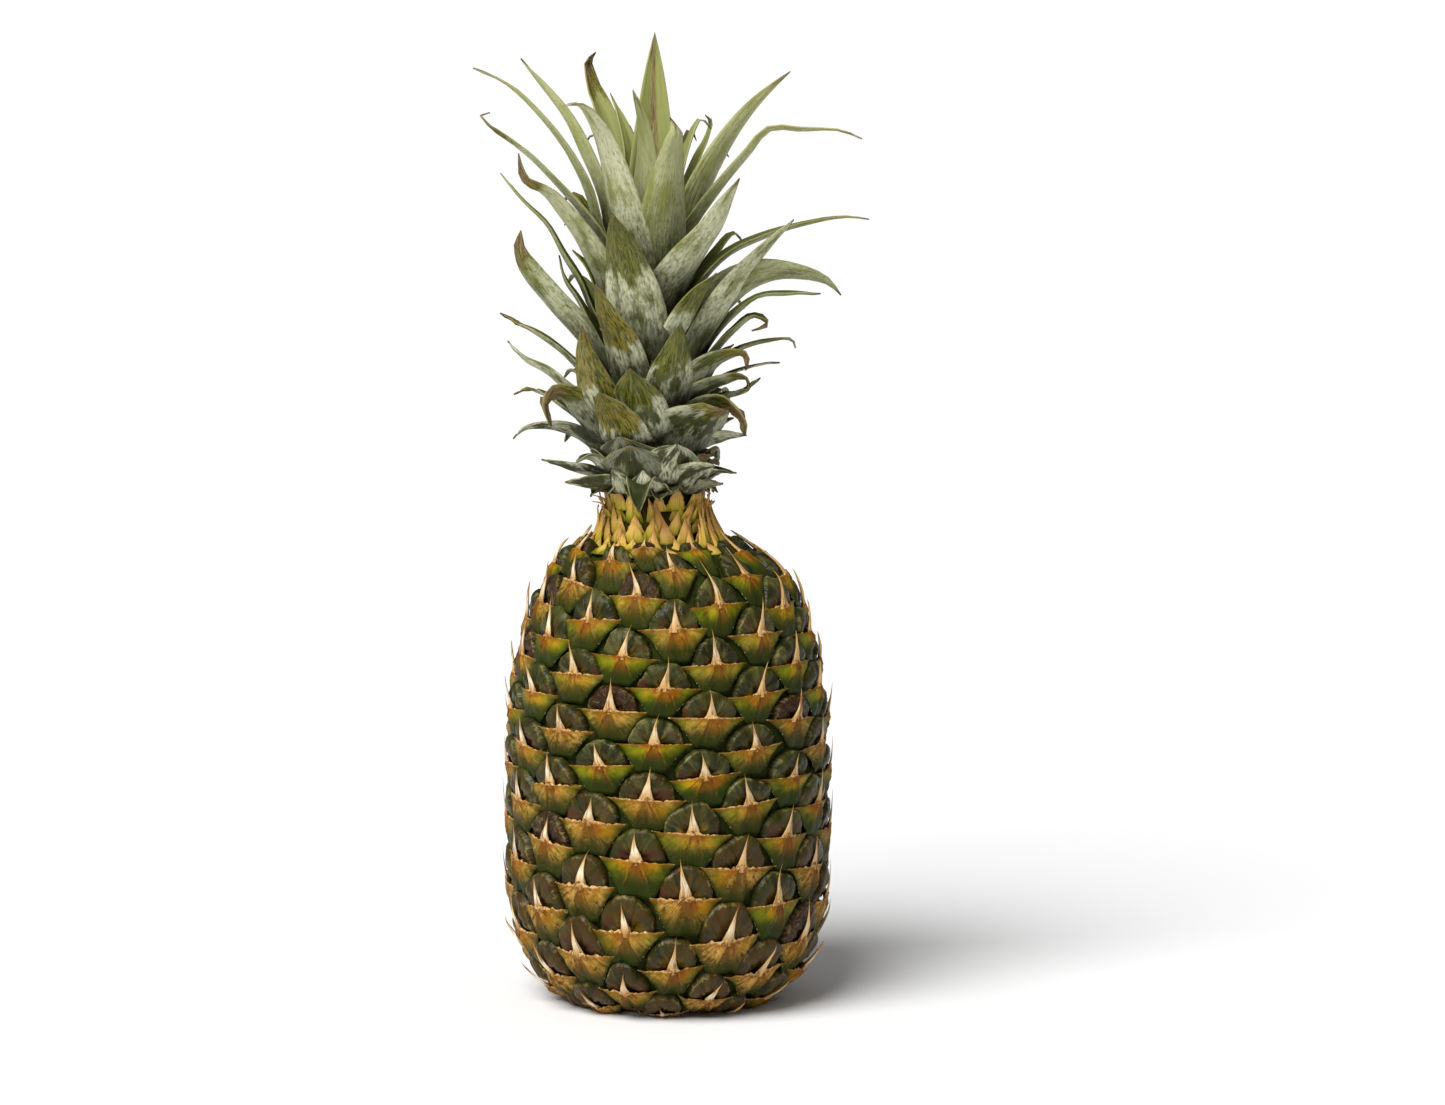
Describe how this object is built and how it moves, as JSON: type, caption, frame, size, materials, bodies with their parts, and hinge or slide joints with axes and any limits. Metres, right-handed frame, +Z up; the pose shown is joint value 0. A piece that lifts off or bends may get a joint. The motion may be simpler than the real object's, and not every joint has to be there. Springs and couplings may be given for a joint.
{
  "type": "pineapple",
  "caption": "Whole pineapple standing on its cut base, with spiral eyes and spined bracts, a short collar of dry scales and a tall leafy crown.",
  "frame": {"origin": "middle of the cut stalk's end, level with the flat spot that the fruit stands on", "axes": "+Z up along the fruit, from the cut stalk to the crown's tips; -Y towards the front that the picture shows; +X to its right"},
  "size_m": [0.1455, 0.1232, 0.356],
  "materials": {
    "rind": "satin",
    "dry_scales": "matte",
    "leaves": "matte"
  },
  "bodies": {
    "root": {"fruit": "rind", "collar": "dry_scales", "crown": "leaves"}
  },
  "joints": []
}
